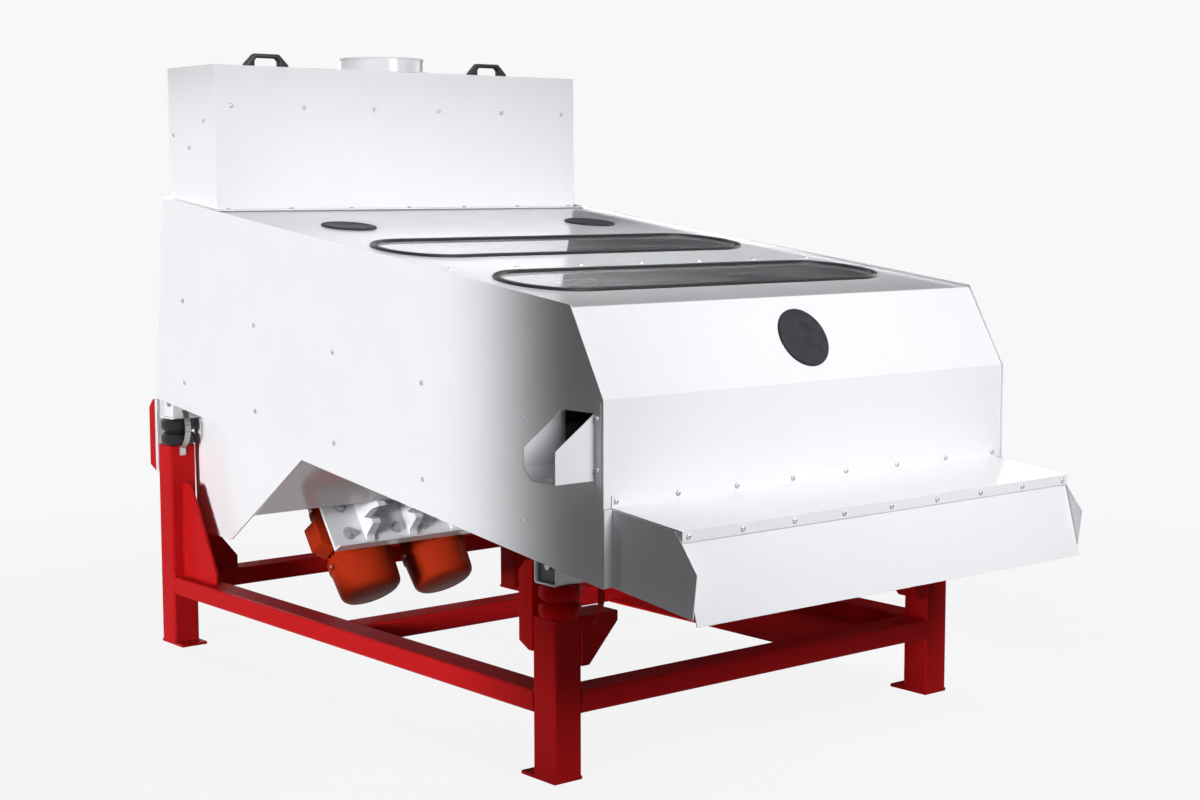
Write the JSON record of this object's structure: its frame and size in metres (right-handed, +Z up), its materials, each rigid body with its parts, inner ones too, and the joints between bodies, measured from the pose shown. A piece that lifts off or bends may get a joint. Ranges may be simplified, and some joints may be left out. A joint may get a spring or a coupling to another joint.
{
  "type": "vibrating sieve",
  "caption": "White sheet-metal vibrating grain sieve on a red tube frame, with an inlet box, windowed top covers, a front chute, a side spout and unbalance motors hung below.",
  "frame": {"origin": "on the floor, at the centre of the rectangle of anchor bolt holes in the base frame", "axes": "+Z up, +Y towards the inlet end (longest extent), +X across the machine, so that the discharge chute points to -Y"},
  "size_m": [1.8155, 2.9785, 2.158],
  "materials": {
    "white_powder": "fine-textured white powder coat",
    "red_powder": "smooth red powder coat",
    "black_rubber": "matte extruded rubber",
    "spring_rubber": "moulded black rubber",
    "pad_plastic": "sawn plastic sheet",
    "strap_braid": "tinned braid",
    "bolt_steel": "zinc plated",
    "white_bolt": "painted with the sheet",
    "inner_steel": "galvanised sheet",
    "deck_wood": "planed beech",
    "screen_steel": "perforated sheet, shown closed",
    "window_pane": "tinted polycarbonate",
    "motor_paint": "orange-red motor enamel",
    "rotor_steel": "turned and flame-cut steel",
    "handle_plastic": "black moulded plastic",
    "plug_rubber": "dark grey moulded rubber"
  },
  "bodies": {
    "frame": {"leg_front_left": "red_powder", "leg_front_right": "red_powder", "leg_rear_left": "red_powder", "leg_rear_right": "red_powder", "rail_left": "red_powder", "rail_right": "red_powder", "rail_front": "red_powder", "rail_rear": "red_powder", "rail_middle": "red_powder", "bay_plate": "red_powder", "leg_gussets": "red_powder", "spring_guards": "red_powder", "guard_pads": "pad_plastic", "spring_front_left": "spring_rubber", "spring_front_right": "spring_rubber", "spring_rear_left": "spring_rubber", "spring_rear_right": "spring_rubber", "earthing_straps": "strap_braid", "frame_bolts": "bolt_steel"},
    "sieve": {"side_panel_left": "white_powder", "side_panel_right": "white_powder", "cross_tube_front": "white_powder", "cross_tube_rear": "white_powder", "top_cover_rear": "white_powder", "top_cover_front": "white_powder", "front_cover": "white_powder", "rear_wall": "white_powder", "chute_top": "white_powder", "chute_flap": "white_powder", "chute_cheeks": "white_powder", "side_spout": "white_powder", "overs_trough": "inner_steel", "bottom_pan": "inner_steel", "upper_deck_frame": "deck_wood", "upper_screen": "screen_steel", "lower_deck_frame": "deck_wood", "lower_screen": "screen_steel", "carrier_plates": "white_powder", "carrier_wall": "white_powder", "motor_bracket": "white_powder", "inlet_box": "white_powder", "inlet_collar": "white_powder", "inlet_gasket": "black_rubber", "window_panes": "window_pane", "window_seals": "black_rubber", "cover_bolts": "white_bolt", "heavy_bolts": "bolt_steel", "motor_left_housing": "motor_paint", "motor_right_housing": "motor_paint", "motor_caps": "motor_paint", "terminal_boxes": "motor_paint"},
    "rotor_left": {"rotor_left": "rotor_steel"},
    "rotor_right": {"rotor_right": "rotor_steel"},
    "hatch_left": {"hatch_left": "white_powder", "handle_left": "handle_plastic"},
    "hatch_right": {"hatch_right": "white_powder", "handle_right": "handle_plastic"},
    "top_plug_left": {"top_plug_left": "plug_rubber"},
    "top_plug_right": {"top_plug_right": "plug_rubber"},
    "front_plug": {"front_plug": "plug_rubber"}
  },
  "joints": [
    {"name": "sieve_throw", "type": "slide", "parent": "frame", "child": "sieve", "axis": [0, -0.8192, 0.5736], "range_m": [-0.004, 0.004], "stiffness_N_per_m": 890000, "springref_m": 0.00562, "deforming": ["spring_front_left", "spring_front_right", "spring_rear_left", "spring_rear_right", "earthing_straps"]},
    {"name": "rotor_left_spin", "type": "hinge", "parent": "sieve", "child": "rotor_left", "pos_m": [-0.167, 0.9168, 0.3591], "axis": [0, 0.5736, 0.8192], "continuous": true},
    {"name": "rotor_right_spin", "type": "hinge", "parent": "sieve", "child": "rotor_right", "pos_m": [0.167, 0.9168, 0.3591], "axis": [0, 0.5736, 0.8192], "continuous": true},
    {"name": "hatch_left_lift", "type": "slide", "parent": "sieve", "child": "hatch_left", "axis": [0, 0, 1], "range_m": [0, 0.12]},
    {"name": "hatch_right_lift", "type": "slide", "parent": "sieve", "child": "hatch_right", "axis": [0, 0, 1], "range_m": [0, 0.12]},
    {"name": "top_plug_left_pull", "type": "slide", "parent": "sieve", "child": "top_plug_left", "axis": [0, -0.1205, 0.9927], "range_m": [0, 0.04]},
    {"name": "top_plug_right_pull", "type": "slide", "parent": "sieve", "child": "top_plug_right", "axis": [0, -0.1205, 0.9927], "range_m": [0, 0.04]},
    {"name": "front_plug_pull", "type": "slide", "parent": "sieve", "child": "front_plug", "axis": [0, -0.8641, 0.5032], "range_m": [0, 0.04]}
  ],
  "couplings": [
    {"joint": "rotor_right_spin", "follows": "rotor_left_spin", "ratio": -1}
  ]
}
